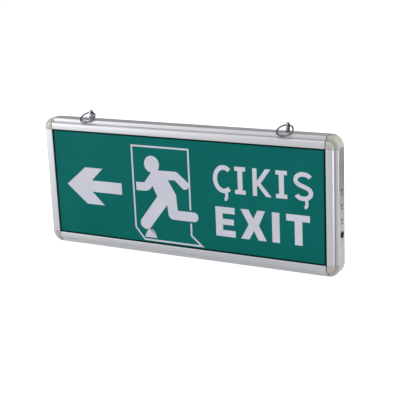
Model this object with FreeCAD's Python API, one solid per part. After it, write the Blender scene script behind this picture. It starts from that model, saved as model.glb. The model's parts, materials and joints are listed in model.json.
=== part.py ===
"""Hanging emergency exit light: an edge-lit sign box in an extruded frame.

Frame of the model: X to the right, Y to the back, Z up, millimetres.
The origin is the middle of the bottom band, the flat that the sign stands on.
"""
import FreeCAD, Part
import math
import os

os.makedirs("parts", exist_ok=True)
V = FreeCAD.Vector
X, Y, Z = V(1, 0, 0), V(0, 1, 0), V(0, 0, 1)
ORIGIN = V(0, 0, 0)

# ---------------------------------------------------------------- dimensions
# Sight: the part of the face that shows between the front lips
sight_w = 330.6
sight_h = 120.1
depth = 23.0            # front rim to back rim

# Frame extrusion, measured outwards from the sight edge
rim_w = 8.2             # raised rim round the face
border = 12.2           # rim and shoulder together
wall = 1.2              # wall of the extrusion
rim_round = 1.6
shoulder_round = 1.5
rib_back = 0.8          # ribs end this far behind the sight edge
joint_gap = 0.2         # butt joint between an extrusion and a corner

# Sheets
panel_t = 2.5           # opal front panel and plain back panel
film_t = 0.2            # printed face film
guide_t = 3.0           # light guide
reflector_t = 0.4
sheet_clear = 0.1       # play in front of a sheet
sheet_bite = 4.5        # how far a sheet enters the frame

# Corner mouldings
tenon_l = 16.0
tenon_wall = 1.8
tenon_clear = 0.1
pocket_clear = 0.4      # past the sheets' square corners
rounding_flats = 2      # flats to a quarter turn, where a rounding is turned or hidden

# Hangers
hanger_inset = 58.1     # from the side band to the ring
hanger_y = 2.5          # behind mid depth
tab_w = 5.8
tab_t = 2.0
tab_h = 9.5             # above the band
tab_foot_h = 3.0
tab_clear = 0.1
block_l = 14.0
block_h = 6.0
ring_wire_r = 0.9
ring_wire_sides = 8
ring_mean_r = 8.35
ring_hole_clear = 0.4
ring_rest_clear = 0.25

# LED strips
strip_t = 1.0
strip_w = 8.0
strip_end_clear = 4.4   # to the hanger blocks above, to the corner tenons below
led_l, led_w, led_t = 3.5, 2.8, 0.8
led_pitch = 16.7
led_clear = 0.5         # LED to the edge of the light guide

# Indicators and test button on the right-hand side
control_pitch = 15.3
button_drop = 28.6      # button below the middle of the face
indicator_r = 1.5
indicator_proud = 0.7
indicator_chamfer = 0.6
indicator_clear = 0.1
side_board_t = 1.6
side_board_w = 8.6
side_board_margin = 8.0
side_board_set = 7.0    # board face behind the band's outer face
button_r = 3.4
button_proud = 0.8
button_chamfer = 0.4
button_flange_r = 4.2
button_flange_t = 0.8
button_travel = 1.5
button_clear = 0.1
stem_r = 1.5
stem_clear = 0.2
switch_w = 6.2
switch_h = 3.2
switch_floor = 0.6

# Cable entry in the back panel
grommet_inset = 47.3    # from the right sight edge
grommet_rise = 38.0     # above the middle of the face
grommet_bore_r = 3.5
grommet_neck_r = 5.5
grommet_flange_r = 7.5
grommet_flange_t = 1.2

# Driver board and what it carries
board_w, board_h, board_t = 96.0, 46.0, 1.6
board_inset = 22.0      # from the right sight edge
board_drop = 8.0
support_h = 2.4
support_w = 4.0
support_foot_w = 8.0
support_foot_t = 0.8
support_inset = 5.0
transformer_w, transformer_h, transformer_t = 16.0, 15.0, 5.8
smoothing_r, smoothing_l = 2.8, 12.0
dropper_w, dropper_h, dropper_t = 13.0, 6.0, 5.4
chip_w, chip_h, chip_t = 9.8, 6.4, 3.3
fuse_r, fuse_l = 1.8, 10.0
terminal_w, terminal_h, terminal_t = 15.0, 8.0, 5.6
terminal_ways = 3
terminal_mouth = 3.0
terminal_inset = 1.0
terminal_gap = 1.2      # to the smoothing capacitor under it
plug_w, plug_h, plug_t = 7.4, 5.0, 5.2
plug_inset = 8.0
plug_pitch = 12.0
# their places, across and up from the middle of the board, where nothing else sets them
transformer_across = -6.0
smoothing_across = 16.0
dropper_across = 16.0
chip_across, chip_up = -26.0, 8.0
fuse_across = 34.0
terminal_across = 26.0

# Battery
cell_l, cell_h, cell_t = 48.0, 17.0, 6.1
cell_gap = 0.4
cell_count = 3
cell_round = 1.5
sleeve_t = 0.3
battery_gap = 28.0      # between the pack and the driver board
battery_drop = 18.0
strap_w = 9.0
strap_t = 0.8
strap_foot = 6.0
strap_spread = 84.0
lead_w, lead_t = 2.4, 1.0
lead_bend = 2.5

# ---------------------------------------------------------- derived positions
slot_w = panel_t + film_t + sheet_clear
step = wall + slot_w                    # the rim's height over the shoulder
half = depth / 2
lip_in = half - wall
shoulder = half - step
rib_in = shoulder - wall
slot_end = rim_w - wall
cavity_end = border - wall

z_sight = border                        # lower sight edge
z_mid = border + sight_h / 2
z_top = border + sight_h + border       # top band
x_side = sight_w / 2 + border           # side band

guide_y = -rib_in                       # guide's front face, on the front rib
reflector_y = guide_y + guide_t
gear_y = reflector_y + reflector_t      # behind here is room for the gear
back_y = shoulder                       # back panel's front face

tenon_front = gear_y + tenon_clear
tenon_back = rib_in - tenon_clear
tenon_in = rib_back + joint_gap
tenon_core = cavity_end - tenon_wall

guide_rise = cavity_end - strip_t - led_t - led_clear

hanger_x = x_side - hanger_inset
hole_r = ring_wire_r + ring_hole_clear
eye_rise = tab_h - tab_w / 2            # ring's hole above the band


def ring_rest_angle(side):
    """Angle below level at which a ring leans on the frame (side -1 front, 1 back)."""
    angles = []
    for reach, drop, radius in (
        (shoulder, 0.0, shoulder_round),
        (half, border - rim_w, rim_round),
    ):
        across = reach - radius - side * hanger_y
        down = eye_rise + drop + radius
        apart = radius + ring_wire_r + ring_rest_clear
        angles.append(math.atan2(down, across) - math.asin(apart / math.hypot(down, across)))
    return min(angles)


ring_front = ring_rest_angle(-1)
ring_back = ring_rest_angle(1)
ring_swing = math.pi + ring_front + ring_back

control_z = [z_mid - button_drop + control_pitch * n for n in (3, 2, 1)]
button_z = z_mid - button_drop


# ------------------------------------------------------------------- helpers
def save(name, shape):
    shape.exportStep("parts/%s.step" % name)
    print("%-24s %d solid(s) %10.1f mm3" % (name, len(shape.Solids), shape.Volume))


def box(x0, x1, y0, y1, z0, z1):
    return Part.makeBox(x1 - x0, y1 - y0, z1 - z0, V(x0, y0, z0))


def rod(radius, start, along):
    return Part.makeCylinder(radius, along.Length, start, along)


def group(solids):
    return Part.makeCompound(solids)


def rounded_face(corners, flats=0):
    """Flat face in the XY plane from (x, y, radius) corners.

    With flats, each rounding is that many equal chords of its arc, which keeps
    a section that is then revolved to few facets.
    """
    count = len(corners)
    stops = []
    for i, (x, y, radius) in enumerate(corners):
        here = V(x, y, 0)
        if radius == 0:
            stops.append((here, here, None))
            continue
        before = V(corners[i - 1][0], corners[i - 1][1], 0) - here
        after = V(corners[(i + 1) % count][0], corners[(i + 1) % count][1], 0) - here
        half_angle = before.getAngle(after) / 2
        inward = (before.normalize() + after.normalize()).normalize()
        run = radius / math.tan(half_angle)
        nearest = here + inward * (radius / math.sin(half_angle) - radius)
        stops.append((here + before * run, here + after * run, nearest))
    edges = []
    for i, (start, end, nearest) in enumerate(stops):
        if nearest and flats:
            bend = Part.Arc(start, nearest, end)
            chords = bend.discretize(flats + 1)
            edges += [Part.LineSegment(a, b).toShape() for a, b in zip(chords, chords[1:])]
        elif nearest:
            edges.append(Part.Arc(start, nearest, end).toShape())
        following = stops[(i + 1) % count][0]
        if end.distanceToPoint(following) > 1e-6:
            edges.append(Part.LineSegment(end, following).toShape())
    return Part.Face(Part.Wire(edges))


def mirrored(half_corners):
    """Corners of the back half, then the same corners of the front half."""
    return half_corners + [(x, -y, radius) for x, y, radius in reversed(half_corners)]


def rect_face(x0, x1, y0, y1):
    return rounded_face([(x0, y0, 0), (x1, y0, 0), (x1, y1, 0), (x0, y1, 0)])


def turned(shape, degrees, place):
    """Copy turned about the Y axis and moved to its place."""
    result = shape.copy()
    result.rotate(ORIGIN, Y, degrees)
    result.translate(place)
    return result


def slab(width, height, thickness, y, x=0.0, z=None):
    """Upright sheet with its front face at y, centred on x and z."""
    z = z_mid if z is None else z
    return box(x - width / 2, x + width / 2, y, y + thickness, z - height / 2, z + height / 2)


# --------------------------------------------------------------------- frame
# outside of the section, from the band to the edge of the back lip
outer_corners = [
    (border, shoulder, shoulder_round),
    (rim_w, shoulder, 0),
    (rim_w, half, rim_round),
    (0, half, 0),
]


def member_section():
    """Channel with a raised rim front and back, and a slot under each lip."""
    inside = [
        (0, lip_in, 0),
        (slot_end, lip_in, 0),
        (slot_end, shoulder, 0),
        (rib_back, shoulder, 0),
        (rib_back, rib_in, 0),
        (cavity_end, rib_in, 0),
    ]
    return rounded_face(mirrored(outer_corners + inside))


def member(length):
    blank = member_section().extrude(Z * length)
    blank.translate(Z * joint_gap)
    return blank


def frame_members():
    long_one = member(sight_w - 2 * joint_gap)
    short_one = member(sight_h - 2 * joint_gap)
    top = turned(long_one, -90, V(sight_w / 2, 0, z_top - border))
    for side in (-1, 1):
        low_y = hanger_y - tab_w / 2 - tab_clear
        high_y = hanger_y + tab_w / 2 + tab_clear
        low_x = side * hanger_x - tab_t / 2 - tab_clear
        high_x = side * hanger_x + tab_t / 2 + tab_clear
        top = top.cut(box(low_x, high_x, low_y, high_y, z_top - 2 * wall, z_top + wall))
    bottom = turned(long_one, 90, V(-sight_w / 2, 0, z_sight))
    left = turned(short_one, 180, V(-sight_w / 2, 0, z_top - border))
    right = turned(short_one, 0, V(sight_w / 2, 0, z_sight))
    for z in control_z:
        right = right.cut(rod(indicator_r + indicator_clear, V(x_side - 2 * wall, 0, z), X * 3 * wall))
    right = right.cut(rod(button_r + button_clear, V(x_side - 2 * wall, 0, button_z), X * 3 * wall))
    save("frame_top", top)
    save("frame_bottom", bottom)
    save("frame_left", left)
    save("frame_right", right)


def corner_moulding():
    """The frame's section turned through a right angle, with a channel tenon each way."""
    elbow = rounded_face(mirrored(outer_corners), rounding_flats).revolve(ORIGIN, Y, -90)
    sheet_end = sheet_bite + pocket_clear
    guide_end = guide_rise + pocket_clear
    elbow = elbow.cut([
        box(0, sheet_end, -lip_in, -shoulder, 0, sheet_end),
        box(0, sheet_end, shoulder, lip_in, 0, sheet_end),
        box(0, sheet_end, -rib_in, tenon_front, 0, guide_end),
        box(0, guide_end, -rib_in, tenon_front, 0, sheet_end),
        rod(tenon_core, V(0, tenon_front + tenon_wall, 0), Y * (tenon_back - tenon_front - 2 * tenon_wall)),
    ])
    channel = rounded_face([
        (tenon_in, tenon_front, 0),
        (cavity_end, tenon_front, 0),
        (cavity_end, tenon_back, 0),
        (tenon_in, tenon_back, 0),
        (tenon_in, tenon_back - tenon_wall, 0),
        (tenon_core, tenon_back - tenon_wall, 0),
        (tenon_core, tenon_front + tenon_wall, 0),
        (tenon_in, tenon_front + tenon_wall, 0),
    ])
    down = channel.extrude(-Z * tenon_l)
    across = turned(channel.extrude(Z * tenon_l), -90, ORIGIN)
    return elbow.fuse([down, across]).removeSplitter()


def corners():
    moulding = corner_moulding()
    for name, degrees, side_x, z in (
        ("corner_top_right", 0, 1, z_top - border),
        ("corner_top_left", -90, -1, z_top - border),
        ("corner_bottom_left", 180, -1, z_sight),
        ("corner_bottom_right", 90, 1, z_sight),
    ):
        save(name, turned(moulding, degrees, V(side_x * sight_w / 2, 0, z)))


# -------------------------------------------------------------------- sheets
grommet_x = sight_w / 2 - grommet_inset
grommet_z = z_mid + grommet_rise


def sheets():
    width = sight_w + 2 * sheet_bite
    height = sight_h + 2 * sheet_bite
    save("front_panel", slab(width, height, panel_t, -shoulder - panel_t))
    save("legend_film", slab(width, height, film_t, -shoulder - panel_t - film_t))
    save("light_guide", slab(width, sight_h + 2 * guide_rise, guide_t, guide_y))
    save("reflector_sheet", slab(width, height, reflector_t, reflector_y))
    back = slab(width, height, panel_t, back_y)
    hole = rod(grommet_neck_r, V(grommet_x, back_y - wall, grommet_z), Y * (panel_t + 2 * wall))
    save("back_panel", back.cut(hole))


def cable_grommet():
    """Rubber bush: a neck in the back panel between two flanges."""
    low, high = -grommet_flange_t, panel_t + grommet_flange_t
    section = rounded_face([
        (grommet_bore_r, low, 0),
        (grommet_flange_r, low, 0),
        (grommet_flange_r, 0, 0),
        (grommet_neck_r, 0, 0),
        (grommet_neck_r, panel_t, 0),
        (grommet_flange_r, panel_t, 0),
        (grommet_flange_r, high, 0),
        (grommet_bore_r, high, 0),
    ])
    bush = section.revolve(ORIGIN, Y, 360)
    bush.translate(V(grommet_x, back_y, grommet_z))
    save("cable_grommet", bush)


# ------------------------------------------------------------------- hangers
def hanger_tab():
    """T-shaped plate: the upright passes the band, the foot bears on it from below."""
    foot_front = tenon_front + tab_clear
    foot_back = tenon_back - tab_clear
    low, high = hanger_y - tab_w / 2, hanger_y + tab_w / 2
    bottom = -wall - tab_foot_h
    face = rounded_face([
        (foot_front, bottom, 0),
        (foot_back, bottom, 0),
        (foot_back, -wall, 0),
        (high, -wall, 0),
        (high, tab_h, tab_w / 2),
        (low, tab_h, tab_w / 2),
        (low, -wall, 0),
        (foot_front, -wall, 0),
    ])
    plate = face.extrude(Z * tab_t)
    plate.translate(Z * (-tab_t / 2))
    plate = plate.cut(rod(hole_r, V(hanger_y, eye_rise, -tab_t), Z * 2 * tab_t))
    # the outline was drawn as (Y, Z): stand it up with its thickness along X
    plate.transformShape(FreeCAD.Matrix(0, 0, 1, 0, 1, 0, 0, 0, 0, 1, 0, 0, 0, 0, 0, 1))
    return plate


def hanger_block():
    """Moulded packer that fills the channel under the tab and holds its foot up."""
    top = -wall
    body = box(-block_l / 2, block_l / 2, tenon_front, rib_in, top - block_h, top)
    slot = box(-tab_t / 2 - tab_clear, tab_t / 2 + tab_clear, tenon_front, rib_in, top - tab_foot_h, top)
    relief = box(-block_l / 2 + tenon_wall, block_l / 2 - tenon_wall, tenon_front + tenon_wall,
                 rib_in - tenon_wall, top - block_h, top - tab_foot_h - tenon_wall / 2)
    return body.cut(slot).cut(relief)


def hanger_ring():
    """Wire ring through the tab's hole, leaning forward onto the frame's edge."""
    angles = [2 * math.pi * (n + 0.5) / ring_wire_sides for n in range(ring_wire_sides)]
    section = rounded_face([
        (ring_mean_r + ring_wire_r * math.cos(a), ring_wire_r * math.sin(a), 0) for a in angles
    ])
    ring = section.revolve(ORIGIN, Y, 360)
    ring.translate(Z * ring_mean_r)
    ring.rotate(ORIGIN, X, 90 + math.degrees(ring_front))
    ring.translate(V(0, hanger_y, eye_rise))
    return ring


def hangers():
    pieces = {"hanger_tab": hanger_tab(), "hanger_block": hanger_block(), "hanger_ring": hanger_ring()}
    for side_name, side in (("left", -1), ("right", 1)):
        for name, shape in pieces.items():
            save("%s_%s" % (name, side_name), turned(shape, 0, V(side * hanger_x, 0, z_top)))


# ---------------------------------------------------------------- LED strips
def led_strip(length, z_wall, side):
    """Strip on a band's inner face (side 1 top, -1 bottom) and its row of emitters."""
    z_board = z_wall - side * strip_t
    z_led = z_board - side * led_t
    board_front = guide_y + sheet_clear
    board = box(-length / 2, length / 2, board_front, board_front + strip_w,
                min(z_wall, z_board), max(z_wall, z_board))
    led_y = guide_y + guide_t / 2
    count = int((length - led_l) // led_pitch) + 1
    leds = []
    for n in range(count):
        x = (n - (count - 1) / 2) * led_pitch
        leds.append(box(x - led_l / 2, x + led_l / 2, led_y - led_w / 2, led_y + led_w / 2,
                        min(z_board, z_led), max(z_board, z_led)))
    return board, group(leds)


def lighting():
    for name, reach, z_wall, side in (
        ("top", hanger_x - block_l / 2, z_top - wall, 1),
        ("bottom", sight_w / 2 - tenon_l, wall, -1),
    ):
        board, leds = led_strip(2 * (reach - strip_end_clear), z_wall, side)
        save("led_strip_%s" % name, board)
        save("leds_%s" % name, leds)


# ------------------------------------------------ indicators and test button
board_face = x_side - side_board_set


def indicator_lamp():
    """Blunt-nosed lamp on the board, along +X from the board's face."""
    tip = side_board_set + indicator_proud
    lamp = rounded_face([
        (0, 0, 0),
        (indicator_r, 0, 0),
        (indicator_r, tip - indicator_chamfer, 0),
        (indicator_r - indicator_chamfer, tip, 0),
        (0, tip, 0),
    ]).revolve(ORIGIN, Y, 360)
    lamp.rotate(ORIGIN, Z, -90)
    return lamp


def controls():
    centre_y = (tenon_front + rib_in) / 2
    low = button_z - side_board_margin
    high = control_z[0] + side_board_margin
    save("indicator_board", box(board_face - side_board_t, board_face,
                                centre_y - side_board_w / 2, centre_y + side_board_w / 2, low, high))
    lamp = indicator_lamp()
    for name, z in zip(("mains", "charge", "fault"), control_z):
        save("indicator_lamp_%s" % name, turned(lamp, 0, V(board_face, 0, z)))

    housing = box(board_face, board_face + switch_h, -switch_w / 2, switch_w / 2,
                  button_z - switch_w / 2, button_z + switch_w / 2)
    well_half = stem_r + stem_clear
    well = box(board_face + switch_floor, board_face + switch_h, -well_half, well_half,
               button_z - well_half, button_z + well_half)
    save("test_switch", housing.cut(well))

    flange_top = x_side - wall - button_clear
    flange_low = flange_top - button_flange_t
    stem_low = board_face + switch_floor + stem_clear + button_travel
    cap_top = x_side + button_proud
    profile = rounded_face([
        (0, stem_low, 0),
        (stem_r, stem_low, 0),
        (stem_r, flange_low, 0),
        (button_flange_r, flange_low, 0),
        (button_flange_r, flange_top, 0),
        (button_r, flange_top, 0),
        (button_r, cap_top - button_chamfer, 0),
        (button_r - button_chamfer, cap_top, 0),
        (0, cap_top, 0),
    ])
    button = profile.revolve(ORIGIN, Y, 360)
    button.rotate(ORIGIN, Z, -90)
    button.translate(V(0, 0, button_z))
    save("test_button", button)


# ------------------------------------------------------------------- driver
board_x = sight_w / 2 - board_inset - board_w / 2
board_z = z_mid - board_drop
board_back = back_y - support_h
board_front = board_back - board_t


def on_board(width, height, thickness, across, up):
    """Block standing on the driver board's front, placed from the board's centre."""
    return slab(width, height, thickness, board_front - thickness, board_x + across, board_z + up)


def lying_can(radius, length, across, up):
    """Cylinder lying on the board along X."""
    return rod(radius, V(board_x + across - length / 2, board_front - radius, board_z + up), X * length)


def driver():
    save("driver_board", slab(board_w, board_h, board_t, board_front, board_x, board_z))
    supports = []
    for side_x in (-1, 1):
        for side_z in (-1, 1):
            x = board_x + side_x * (board_w / 2 - support_inset)
            z = board_z + side_z * (board_h / 2 - support_inset)
            post = slab(support_w, support_w, support_h, board_back, x, z)
            foot = slab(support_foot_w, support_foot_w, support_foot_t, back_y - support_foot_t, x, z)
            supports.append(post.fuse(foot).removeSplitter())
    save("board_supports", group(supports))

    core = on_board(transformer_w, transformer_h, transformer_t, transformer_across, 0)
    limb = transformer_w / 4
    winding = on_board(transformer_w - limb, transformer_h / 2, transformer_t, transformer_across, 0)
    save("transformer_core", core.cut(winding))
    save("transformer_winding", winding)
    edge = board_h / 2 - terminal_inset
    smoothing_up = edge - terminal_h - terminal_gap - smoothing_r
    save("smoothing_capacitor", lying_can(smoothing_r, smoothing_l, smoothing_across, smoothing_up))
    save("dropper_capacitor", on_board(dropper_w, dropper_h, dropper_t, dropper_across, 0))
    save("charge_chip", on_board(chip_w, chip_h, chip_t, chip_across, chip_up))
    save("fuse", lying_can(fuse_r, fuse_l, fuse_across, 0))

    block = on_board(terminal_w, terminal_h, terminal_t, terminal_across, edge - terminal_h / 2)
    pitch = terminal_w / terminal_ways
    for n in range(terminal_ways):
        across = terminal_across + (n - (terminal_ways - 1) / 2) * pitch
        mouth = on_board(terminal_mouth, terminal_h, terminal_mouth, across, edge)
        mouth.translate(-Y * (terminal_t - terminal_mouth) / 2)
        block = block.cut(mouth)
    save("terminal_block", block)
    plug_across = plug_inset - board_w / 2
    plugs = [on_board(plug_w, plug_h, plug_t, plug_across, n * plug_pitch) for n in (-1, 0, 1)]
    save("lead_plugs", group(plugs))


# ------------------------------------------------------------------ battery
pack_l = cell_count * cell_l + (cell_count - 1) * cell_gap
battery_x = board_x - board_w / 2 - battery_gap - pack_l / 2
battery_z = z_mid - battery_drop


def cell_block(grow, length, x):
    """Length of a cell's rounded section along X, grown on every side."""
    wide, thick = cell_h / 2 + grow, cell_t / 2 + grow
    block = rounded_face([
        (-wide, -thick, cell_round + grow),
        (wide, -thick, cell_round + grow),
        (wide, thick, cell_round + grow),
        (-wide, thick, cell_round + grow),
    ], rounding_flats).extrude(Z * length)
    return turned(block, 90, V(x - length / 2, back_y - sleeve_t - cell_t / 2, battery_z))


def battery():
    pitch = cell_l + cell_gap
    offsets = [(n - (cell_count - 1) / 2) * pitch for n in range(cell_count)]
    cells = [cell_block(0, cell_l, battery_x + offset) for offset in offsets]
    save("battery_cells", group(cells))
    sleeve = cell_block(sleeve_t, pack_l, battery_x)
    save("battery_sleeve", sleeve.cut(cell_block(0, pack_l + sleeve_t, battery_x)))

    strap_half = cell_h / 2 + sleeve_t
    top_y = back_y - 2 * sleeve_t - cell_t
    straps = []
    for side in (-1, 1):
        x = battery_x + side * strap_spread / 2
        profile = rounded_face([
            (-strap_half - strap_foot, back_y, 0),
            (-strap_half, back_y, 0),
            (-strap_half, top_y, 0),
            (strap_half, top_y, 0),
            (strap_half, back_y, 0),
            (strap_half + strap_foot, back_y, 0),
            (strap_half + strap_foot, back_y - strap_t, 0),
            (strap_half + strap_t, back_y - strap_t, 0),
            (strap_half + strap_t, top_y - strap_t, strap_t),
            (-strap_half - strap_t, top_y - strap_t, strap_t),
            (-strap_half - strap_t, back_y - strap_t, 0),
            (-strap_half - strap_foot, back_y - strap_t, 0),
        ], rounding_flats)
        strap = profile.extrude(Z * strap_w)
        strap.rotate(ORIGIN, Y, -90)
        strap.translate(V(x + strap_w / 2, 0, battery_z))
        straps.append(strap)
    save("battery_straps", group(straps))


def battery_lead():
    """Flat twin lead in two bends, from the lowest plug to the end of the pack."""
    plug_end = board_x - board_w / 2 + plug_inset - plug_w / 2
    plug_y = board_front - plug_t / 2
    pack_end = battery_x + pack_l / 2
    pack_y = back_y - sleeve_t - cell_t / 2
    middle = (plug_end + pack_end) / 2
    near, far = plug_y - lead_t / 2, plug_y + lead_t / 2
    lead = rounded_face([
        (plug_end, near, 0),
        (middle - lead_t / 2, near, lead_bend),
        (middle - lead_t / 2, pack_y - lead_t / 2, lead_bend - lead_t),
        (pack_end, pack_y - lead_t / 2, 0),
        (pack_end, pack_y + lead_t / 2, 0),
        (middle + lead_t / 2, pack_y + lead_t / 2, lead_bend),
        (middle + lead_t / 2, far, lead_bend - lead_t),
        (plug_end, far, 0),
    ], rounding_flats).extrude(Z * lead_w)
    lead.translate(Z * (board_z - plug_pitch - lead_w / 2))
    save("battery_lead", lead)


frame_members()
corners()
sheets()
cable_grommet()
hangers()
lighting()
controls()
driver()
battery()
battery_lead()

print("outside %.1f x %.1f x %.1f mm" % (2 * x_side, z_top, depth))
print("ring leans %.2f deg, swings %.2f deg" % (math.degrees(ring_front), math.degrees(ring_swing)))
print("ring eye at x %.2f y %.2f z %.2f" % (hanger_x, hanger_y, z_top + eye_rise))
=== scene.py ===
import bpy
import bmesh
import json
import math
from mathutils import Matrix, Vector


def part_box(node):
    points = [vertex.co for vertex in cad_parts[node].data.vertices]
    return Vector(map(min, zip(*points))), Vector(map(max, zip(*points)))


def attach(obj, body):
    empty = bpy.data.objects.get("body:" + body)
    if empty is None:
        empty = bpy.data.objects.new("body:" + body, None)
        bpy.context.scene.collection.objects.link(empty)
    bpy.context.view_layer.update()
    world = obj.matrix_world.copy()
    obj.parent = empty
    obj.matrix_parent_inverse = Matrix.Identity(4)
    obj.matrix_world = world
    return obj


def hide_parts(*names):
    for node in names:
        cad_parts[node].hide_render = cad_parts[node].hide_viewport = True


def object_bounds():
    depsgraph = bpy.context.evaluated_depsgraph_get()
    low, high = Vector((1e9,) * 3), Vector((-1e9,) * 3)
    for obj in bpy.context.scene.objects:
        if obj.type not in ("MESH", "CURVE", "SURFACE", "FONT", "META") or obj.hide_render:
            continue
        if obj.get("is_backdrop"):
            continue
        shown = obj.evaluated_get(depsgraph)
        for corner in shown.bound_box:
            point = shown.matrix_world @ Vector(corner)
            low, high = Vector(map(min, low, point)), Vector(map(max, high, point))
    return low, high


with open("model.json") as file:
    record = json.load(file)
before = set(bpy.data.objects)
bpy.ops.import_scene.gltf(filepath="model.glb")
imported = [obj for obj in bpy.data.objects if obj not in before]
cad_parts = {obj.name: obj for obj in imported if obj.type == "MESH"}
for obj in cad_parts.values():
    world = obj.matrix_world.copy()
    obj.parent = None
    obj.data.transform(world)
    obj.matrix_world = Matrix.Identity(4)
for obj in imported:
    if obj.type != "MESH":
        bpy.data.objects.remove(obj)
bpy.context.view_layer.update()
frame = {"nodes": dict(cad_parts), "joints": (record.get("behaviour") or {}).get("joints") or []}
nodes = frame["nodes"]
print("frame loaded:", len(nodes), "nodes")

mm = 0.001
near = 1e-6  # m, when two places count as one
weld = 1e-7  # m, when two points become one
quarter = math.pi / 2
creaseAngle = math.radians(32)
cutAngle = math.radians(60)  # sharper than any step of a rounding

# the sight opening and the outside of the frame, in metres
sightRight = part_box("frame_right")[0].x
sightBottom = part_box("frame_bottom")[1].z
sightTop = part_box("frame_top")[0].z
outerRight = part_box("frame_right")[1].x
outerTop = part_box("frame_top")[1].z
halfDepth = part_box("frame_top")[1].y
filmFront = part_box("legend_film")[0].y
faceCentre = Vector((0, -halfDepth, (sightTop + sightBottom) / 2))


# mesh helpers

def shadeByAngle(mesh):
    mesh.shade_smooth()
    mesh.set_sharp_from_angle(angle=creaseAngle)


def asPiece(bm, name, body="housing"):
    bmesh.ops.recalc_face_normals(bm, faces=bm.faces[:])
    mesh = bpy.data.meshes.new(name)
    bm.to_mesh(mesh)
    bm.free()
    piece = bpy.data.objects.new(name, mesh)
    bpy.context.scene.collection.objects.link(piece)
    shadeByAngle(mesh)
    if body:
        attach(piece, body)
    return piece


def dress(piece, material, slot, *replaced):
    piece.data.materials.clear()
    piece.data.materials.append(material)
    if replaced:
        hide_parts(*replaced)
    return piece


def evaluated(piece):  # puts the piece's modifiers into its mesh
    graph = bpy.context.evaluated_depsgraph_get()
    made = bpy.data.meshes.new_from_object(piece.evaluated_get(graph))
    piece.modifiers.clear()
    piece.data = made
    shadeByAngle(made)
    return piece


def combine(piece, otherForm, operation):  # boolean with a bmesh or a piece, which is used up
    other = otherForm
    if isinstance(otherForm, bmesh.types.BMesh):
        other = asPiece(otherForm, "other", body=None)
    modifier = piece.modifiers.new("combine", "BOOLEAN")
    modifier.operation = operation
    modifier.solver = "EXACT"
    modifier.object = other
    evaluated(piece)
    bpy.data.objects.remove(other)
    return piece


def outlineFace(bm, outline, segments=5):  # (x, y, radius) corners in mm, drawn flat at z = 0
    verts = [bm.verts.new((x * mm, y * mm, 0)) for x, y, _ in outline]
    bm.faces.new(verts)
    for radius in sorted({corner[2] for corner in outline if corner[2]}):
        group = [v for v, corner in zip(verts, outline) if corner[2] == radius]
        bmesh.ops.bevel(bm, geom=group, offset=radius * mm, offset_type="OFFSET", segments=segments,
                        profile=0.5, affect="VERTICES", material=-1)
    return bm.faces[:]


def breakEdges(bm, edges, width, segments=1):
    bmesh.ops.bevel(bm, geom=edges, offset=width * mm, offset_type="OFFSET", segments=segments,
                    profile=0.5, affect="EDGES", clamp_overlap=True, material=-1)


def push(bm, geom, vector, wire=False):
    extrude = bmesh.ops.extrude_edge_only if wire else bmesh.ops.extrude_face_region
    key = "edges" if wire else "geom"
    moved = [g for g in extrude(bm, **{key: geom})["geom"] if isinstance(g, bmesh.types.BMVert)]
    bmesh.ops.translate(bm, verts=moved, vec=vector)


def put(bm, matrix):
    bmesh.ops.transform(bm, matrix=matrix, verts=bm.verts[:])


def standing(x, y, z):  # for a shape drawn as (Y, Z), with its thickness along X
    return Matrix(((0, 0, 1, x), (1, 0, 0, y), (0, 1, 0, z), (0, 0, 0, 1)))


def spun(bm, steps):  # a full turn about Z
    bmesh.ops.spin(bm, geom=bm.verts[:] + bm.edges[:], cent=(0, 0, 0), axis=(0, 0, 1), dvec=(0, 0, 0),
                   angle=math.tau, steps=steps, use_merge=True)


def turned(bm, outline, steps=48, segments=5):  # (radius, height, round) corners in mm, turned about Z
    outlineFace(bm, outline, segments)
    bmesh.ops.delete(bm, geom=bm.faces[:], context="FACES_ONLY")
    onAxis = [e for e in bm.edges if all(abs(v.co.x) < near for v in e.verts)]
    bmesh.ops.delete(bm, geom=onAxis, context="EDGES")
    bmesh.ops.rotate(bm, verts=bm.verts[:], cent=(0, 0, 0), matrix=Matrix.Rotation(quarter, 3, "X"))
    spun(bm, steps)
    bmesh.ops.remove_doubles(bm, verts=bm.verts[:], dist=weld)


def boxForm(low, high):
    bm = bmesh.new()
    made = bmesh.ops.create_cube(bm, size=1)["verts"]
    bmesh.ops.scale(bm, verts=made, vec=Vector(high) - Vector(low))
    bmesh.ops.translate(bm, verts=made, vec=(Vector(high) + Vector(low)) / 2)
    return bm


def rodForm(radius, length, sides, place):  # in mm, along Z before it is placed
    bm = bmesh.new()
    bmesh.ops.create_cone(bm, cap_ends=True, segments=sides, radius1=radius * mm, radius2=radius * mm,
                          depth=length * mm)
    put(bm, place)
    return bm


def middle(node):
    low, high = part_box(node)
    return (low + high) / 2


# material helpers

noiseSpan = {"From Min": 0.3, "From Max": 0.7}  # where most of a noise's values lie


def paint(hexText):  # sRGB hex to linear
    values = [int(hexText[i:i + 2], 16) / 255 for i in (1, 3, 5)]
    return [v / 12.92 if v <= 0.04045 else ((v + 0.055) / 1.055) ** 2.4 for v in values] + [1]


def addNode(owner, kind, inputs=None, **settings):
    node = owner.node_tree.nodes.new(kind)
    for name, value in settings.items():
        setattr(node, name, value)
    for key, value in (inputs or {}).items():
        if isinstance(value, bpy.types.NodeSocket):
            owner.node_tree.links.new(value, node.inputs[key])
        else:
            node.inputs[key].default_value = value
    return node


def newMaterial(name):
    material = bpy.data.materials.new(name)
    material.use_nodes = True
    material.node_tree.nodes.clear()
    return material


def patternSpace(material, size, stretch=(1, 1, 1)):  # object coordinates in steps of size mm
    where = addNode(material, "ShaderNodeTexCoord").outputs["Object"]
    scale = [1 / (size * mm * s) for s in stretch]
    return addNode(material, "ShaderNodeMapping", {"Vector": where, "Scale": scale}).outputs[0]


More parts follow.
